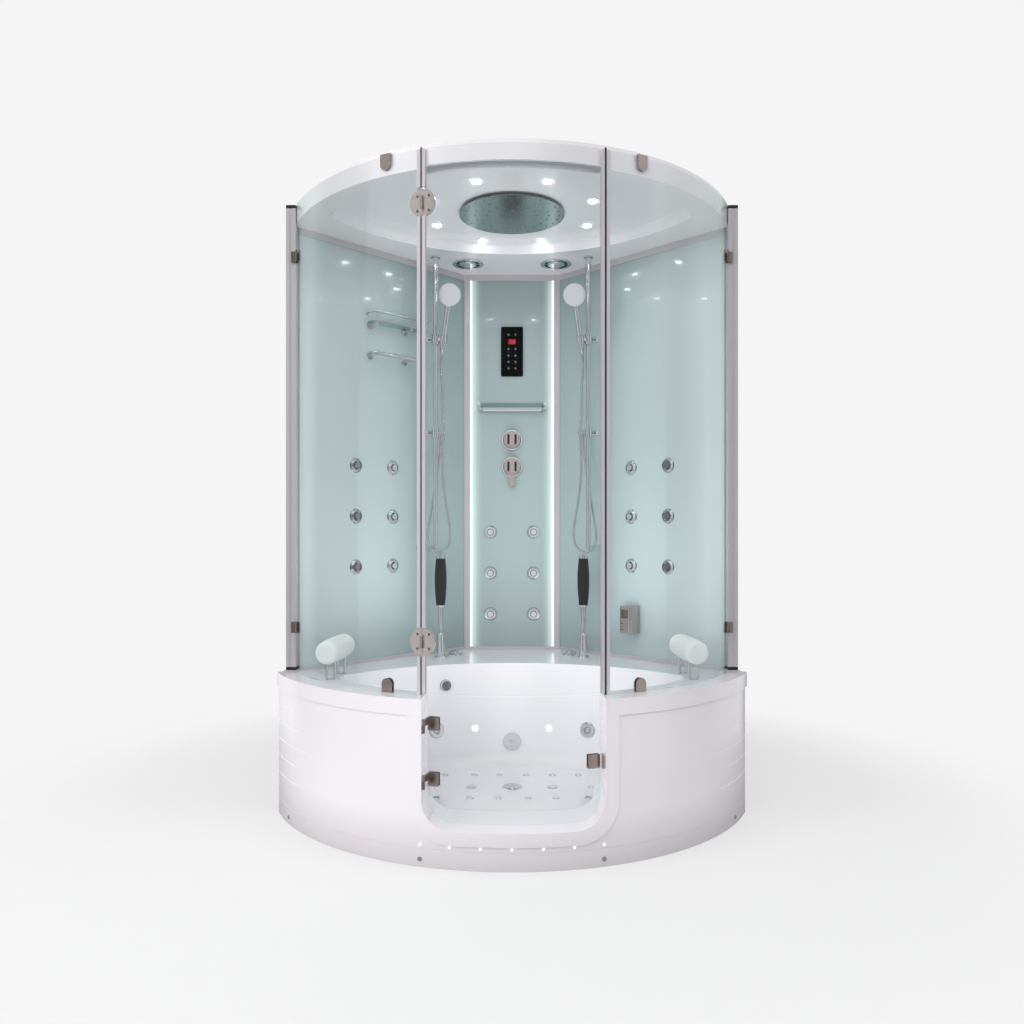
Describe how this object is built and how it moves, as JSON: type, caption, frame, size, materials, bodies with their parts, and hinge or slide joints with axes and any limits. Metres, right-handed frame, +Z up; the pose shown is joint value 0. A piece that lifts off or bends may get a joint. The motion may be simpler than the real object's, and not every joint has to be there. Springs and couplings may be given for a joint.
{
  "type": "steam shower cabin",
  "caption": "Corner steam shower cabin: white tub with a hinged bath door, curved clear glass front, pale green glass walls with jets, hand showers and a rain shower roof.",
  "frame": {"origin": "centre of the bounding box's base, on the floor", "axes": "+Z up, +X to the right of someone who faces the door, +Y into the room corner"},
  "size_m": [1.714, 1.471, 2.23],
  "materials": {
    "white_acrylic": "gloss",
    "clear_glass": "gloss",
    "back_painted_glass": "gloss",
    "chrome": "polished",
    "dark_chrome": "polished",
    "chrome_hose": "polished",
    "satin_aluminium": "satin",
    "light_diffuser": "matte",
    "black_plastic": "matte",
    "black_gloss": "gloss",
    "black_rubber": "matte",
    "black_grip": "matte",
    "clear_vinyl": "gloss",
    "white_foam": "matte",
    "white_pipe": "matte",
    "painted_steel": "satin",
    "pump_casing": "satin"
  },
  "bodies": {
    "cabin": {"tub_basin": "white_acrylic", "front_apron": "white_acrylic", "roof_canopy": "white_acrylic", "apron_screws": "chrome", "tub_frame": "painted_steel", "levelling_feet": "painted_steel", "wall_panels": "back_painted_glass", "wall_trims": "satin_aluminium", "light_strips": "light_diffuser", "corner_posts": "satin_aluminium", "post_caps": "black_plastic", "rain_shower_head": "chrome", "ceiling_grilles": "chrome", "fixed_glass": "clear_glass", "fixed_glass_seals": "clear_vinyl", "gasket_strips": "black_rubber", "fixed_hinge_halves": "chrome", "glass_clips": "dark_chrome", "tub_door_fittings": "dark_chrome", "wall_jets": "chrome", "jet_pipework": "white_pipe", "control_panel": "black_gloss", "centre_shelf_rail": "chrome", "shelf_glasses": "clear_glass", "wall_rails": "chrome", "steam_outlet": "chrome", "mixer_valves": "chrome", "bath_jets": "chrome", "led_lights": "light_diffuser", "floor_air_jets": "chrome", "waste_trap": "white_pipe", "pillows": "white_foam", "pillow_pins": "chrome", "slide_rails": "chrome", "left_hose": "chrome_hose", "right_hose": "chrome_hose", "deck_sockets": "chrome", "steam_generator": "painted_steel", "circulation_pump": "pump_casing", "ceiling_units": "black_plastic"},
    "upper_door": {"upper_door_glass": "clear_glass", "door_seals": "clear_vinyl", "door_hinge_halves": "chrome"},
    "lower_door": {"lower_door_glass": "clear_glass", "lower_door_fittings": "dark_chrome"},
    "fan": {"fan_rotor": "black_plastic"},
    "diverter_knob": {"mixer_knob": "chrome"},
    "mixer_handle": {"mixer_lever": "chrome"},
    "overflow_control": {"overflow_knob": "chrome"},
    "waste_plug": {"drain_plug": "chrome"},
    "left_holder": {"left_slider": "chrome"},
    "right_holder": {"right_slider": "chrome"},
    "left_guide": {"left_hose_guide": "chrome"},
    "right_guide": {"right_hose_guide": "chrome"},
    "left_shower": {"left_hand_shower": "chrome"},
    "right_shower": {"right_hand_shower": "chrome"},
    "left_deck_shower": {"left_deck_handset": "black_grip"},
    "right_deck_shower": {"right_deck_handset": "black_grip"},
    "left_deck_valve": {"left_deck_knob": "chrome"},
    "right_deck_valve": {"right_deck_knob": "chrome"}
  },
  "joints": [
    {"name": "upper_door_hinge", "type": "hinge", "parent": "cabin", "child": "upper_door", "pos_m": [-0.2839, -0.62399, 1.366], "axis": [0, 0, -1], "range_deg": [0, 100]},
    {"name": "lower_door_hinge", "type": "hinge", "parent": "cabin", "child": "lower_door", "pos_m": [-0.27045, -0.67048, 0.338], "axis": [0, 0, -1], "range_deg": [0, 85]},
    {"name": "fan_spin", "type": "hinge", "parent": "cabin", "child": "fan", "pos_m": [-0.186, 0.3185, 2.185], "axis": [0, 0, 1], "continuous": true},
    {"name": "diverter_turn", "type": "hinge", "parent": "cabin", "child": "diverter_knob", "pos_m": [0, 0.4705, 1.427], "axis": [0, 1, 0], "range_deg": [-90, 90]},
    {"name": "mixer_turn", "type": "hinge", "parent": "cabin", "child": "mixer_handle", "pos_m": [0, 0.4705, 1.308], "axis": [0, 1, 0], "range_deg": [-60, 60]},
    {"name": "overflow_turn", "type": "hinge", "parent": "cabin", "child": "overflow_control", "pos_m": [-0.26, 0.04929, 0.42], "axis": [0.3313, -0.9414, 0.0633], "range_deg": [0, 90]},
    {"name": "plug_lift", "type": "slide", "parent": "cabin", "child": "waste_plug", "axis": [0, 0, 1], "range_m": [0, 0.008]},
    {"name": "left_holder_slide", "type": "slide", "parent": "cabin", "child": "left_holder", "axis": [0, 0, 1], "range_m": [-0.3, 0.05], "deforming": ["left_hose"]},
    {"name": "right_holder_slide", "type": "slide", "parent": "cabin", "child": "right_holder", "axis": [0, 0, 1], "range_m": [-0.3, 0.05], "deforming": ["right_hose"]},
    {"name": "left_guide_slide", "type": "slide", "parent": "cabin", "child": "left_guide", "axis": [0, 0, 1], "range_m": [-0.35, 0]},
    {"name": "right_guide_slide", "type": "slide", "parent": "cabin", "child": "right_guide", "axis": [0, 0, 1], "range_m": [-0.35, 0]},
    {"name": "left_shower_lift", "type": "slide", "parent": "left_holder", "child": "left_shower", "axis": [0.17, -0.4499, 0.8768], "range_m": [0, 0.075]},
    {"name": "right_shower_lift", "type": "slide", "parent": "right_holder", "child": "right_shower", "axis": [-0.17, -0.4499, 0.8768], "range_m": [0, 0.075]},
    {"name": "left_deck_shower_lift", "type": "slide", "parent": "cabin", "child": "left_deck_shower", "axis": [0, 0, 1], "range_m": [0, 0.05]},
    {"name": "right_deck_shower_lift", "type": "slide", "parent": "cabin", "child": "right_deck_shower", "axis": [0, 0, 1], "range_m": [0, 0.05]},
    {"name": "left_deck_valve_turn", "type": "hinge", "parent": "cabin", "child": "left_deck_valve", "pos_m": [-0.244, 0.3375, 0.505], "axis": [0, 0, 1], "range_deg": [-90, 90]},
    {"name": "right_deck_valve_turn", "type": "hinge", "parent": "cabin", "child": "right_deck_valve", "pos_m": [0.244, 0.3375, 0.505], "axis": [0, 0, 1], "range_deg": [-90, 90]}
  ],
  "couplings": [
    {"joint": "plug_lift", "follows": "overflow_turn", "m_per_rad": 0.005093}
  ]
}
